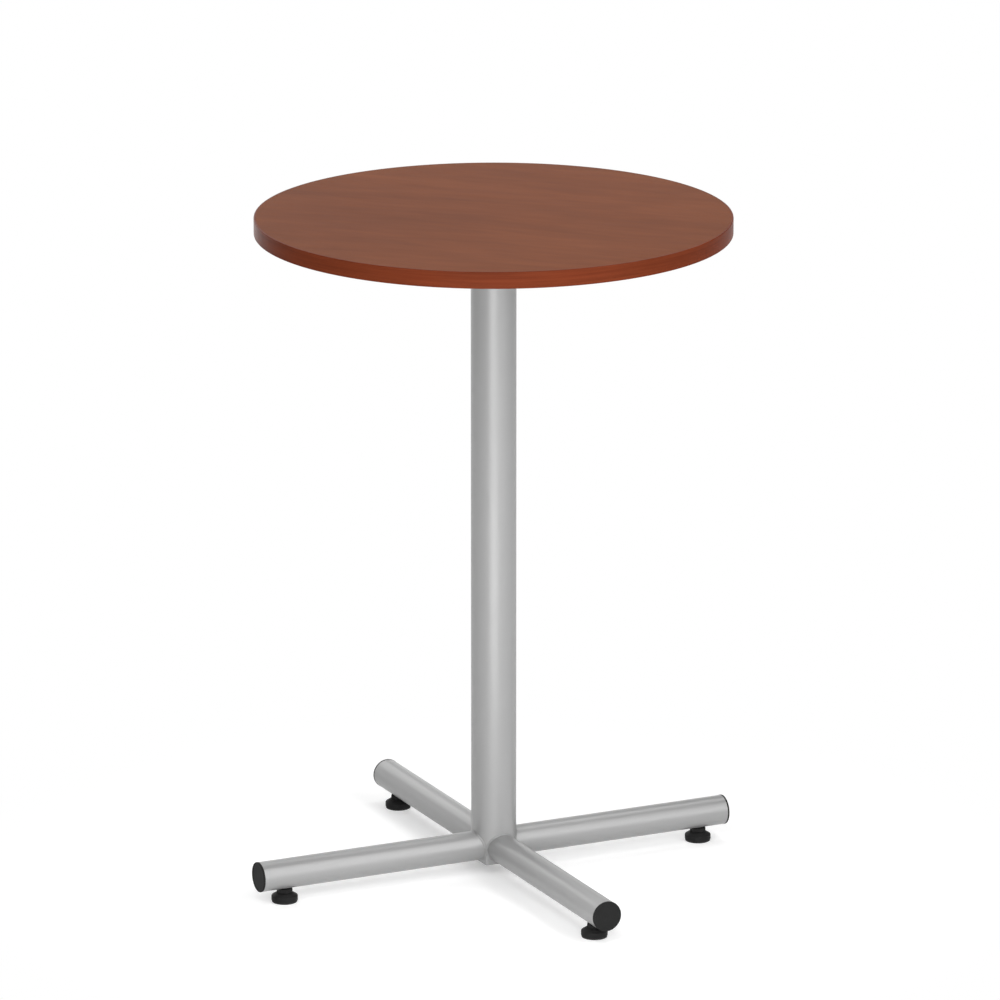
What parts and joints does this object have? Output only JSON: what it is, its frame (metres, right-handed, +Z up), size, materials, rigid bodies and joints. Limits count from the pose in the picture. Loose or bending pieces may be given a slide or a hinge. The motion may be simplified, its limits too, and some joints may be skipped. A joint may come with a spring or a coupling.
{
  "type": "high table",
  "caption": "Round standing-height table: laminate top with banded edge on a round steel column and a cross of round legs with levelling glides.",
  "frame": {"origin": "on the floor under the column's axis, at the bottom centre of the bounding box", "axes": "+Z up along the column; the four legs lie along -Y (front), +X (right), +Y (back) and -X (left)"},
  "size_m": [0.836, 0.836, 1.092],
  "materials": {
    "cherry_laminate": "satin wood-grain laminate",
    "cherry_edge_band": "satin wood-grain plastic band",
    "particle_board": "raw particle board",
    "backer": "dark phenolic backer",
    "silver_paint": "satin silver powder coat",
    "black_plastic": "moulded black plastic",
    "black_rubber": "matt",
    "zinc_steel": "bright zinc"
  },
  "bodies": {
    "table": {"top_laminate": "cherry_laminate", "top_board": "particle_board", "backer_sheet": "backer", "edge_band": "cherry_edge_band", "mounting_plate": "silver_paint", "top_screws": "zinc_steel", "column_tube": "silver_paint", "hub_tube": "silver_paint", "leg_tube_front": "silver_paint", "end_cap_front": "black_plastic", "thread_bush_front": "zinc_steel", "leg_tube_right": "silver_paint", "end_cap_right": "black_plastic", "thread_bush_right": "zinc_steel", "leg_tube_back": "silver_paint", "end_cap_back": "black_plastic", "thread_bush_back": "zinc_steel", "leg_tube_left": "silver_paint", "end_cap_left": "black_plastic", "thread_bush_left": "zinc_steel"},
    "glide_foot_front": {"glide_foot_front": "black_plastic", "glide_sole_front": "black_rubber"},
    "glide_stud_front": {"glide_stud_front": "zinc_steel", "glide_collar_front": "black_plastic"},
    "glide_foot_right": {"glide_foot_right": "black_plastic", "glide_sole_right": "black_rubber"},
    "glide_stud_right": {"glide_stud_right": "zinc_steel", "glide_collar_right": "black_plastic"},
    "glide_foot_back": {"glide_foot_back": "black_plastic", "glide_sole_back": "black_rubber"},
    "glide_stud_back": {"glide_stud_back": "zinc_steel", "glide_collar_back": "black_plastic"},
    "glide_foot_left": {"glide_foot_left": "black_plastic", "glide_sole_left": "black_rubber"},
    "glide_stud_left": {"glide_stud_left": "zinc_steel", "glide_collar_left": "black_plastic"}
  },
  "joints": [
    {"name": "glide_height_front", "type": "slide", "parent": "table", "child": "glide_foot_front", "axis": [0, 0, -1], "range_m": [0, 0.0127]},
    {"name": "glide_turn_front", "type": "hinge", "parent": "glide_foot_front", "child": "glide_stud_front", "pos_m": [0, -0.3715, 0.02], "axis": [0, 0, 1], "range_deg": [0, 2880]},
    {"name": "glide_height_right", "type": "slide", "parent": "table", "child": "glide_foot_right", "axis": [0, 0, -1], "range_m": [0, 0.0127]},
    {"name": "glide_turn_right", "type": "hinge", "parent": "glide_foot_right", "child": "glide_stud_right", "pos_m": [0.3715, 0, 0.02], "axis": [0, 0, 1], "range_deg": [0, 2880]},
    {"name": "glide_height_back", "type": "slide", "parent": "table", "child": "glide_foot_back", "axis": [0, 0, -1], "range_m": [0, 0.0127]},
    {"name": "glide_turn_back", "type": "hinge", "parent": "glide_foot_back", "child": "glide_stud_back", "pos_m": [0, 0.3715, 0.02], "axis": [0, 0, 1], "range_deg": [0, 2880]},
    {"name": "glide_height_left", "type": "slide", "parent": "table", "child": "glide_foot_left", "axis": [0, 0, -1], "range_m": [0, 0.0127]},
    {"name": "glide_turn_left", "type": "hinge", "parent": "glide_foot_left", "child": "glide_stud_left", "pos_m": [-0.3715, 0, 0.02], "axis": [0, 0, 1], "range_deg": [0, 2880]}
  ],
  "couplings": [
    {"joint": "glide_turn_front", "follows": "glide_height_front", "rad_per_m": 3957.9},
    {"joint": "glide_turn_right", "follows": "glide_height_right", "rad_per_m": 3957.9},
    {"joint": "glide_turn_back", "follows": "glide_height_back", "rad_per_m": 3957.9},
    {"joint": "glide_turn_left", "follows": "glide_height_left", "rad_per_m": 3957.9}
  ]
}
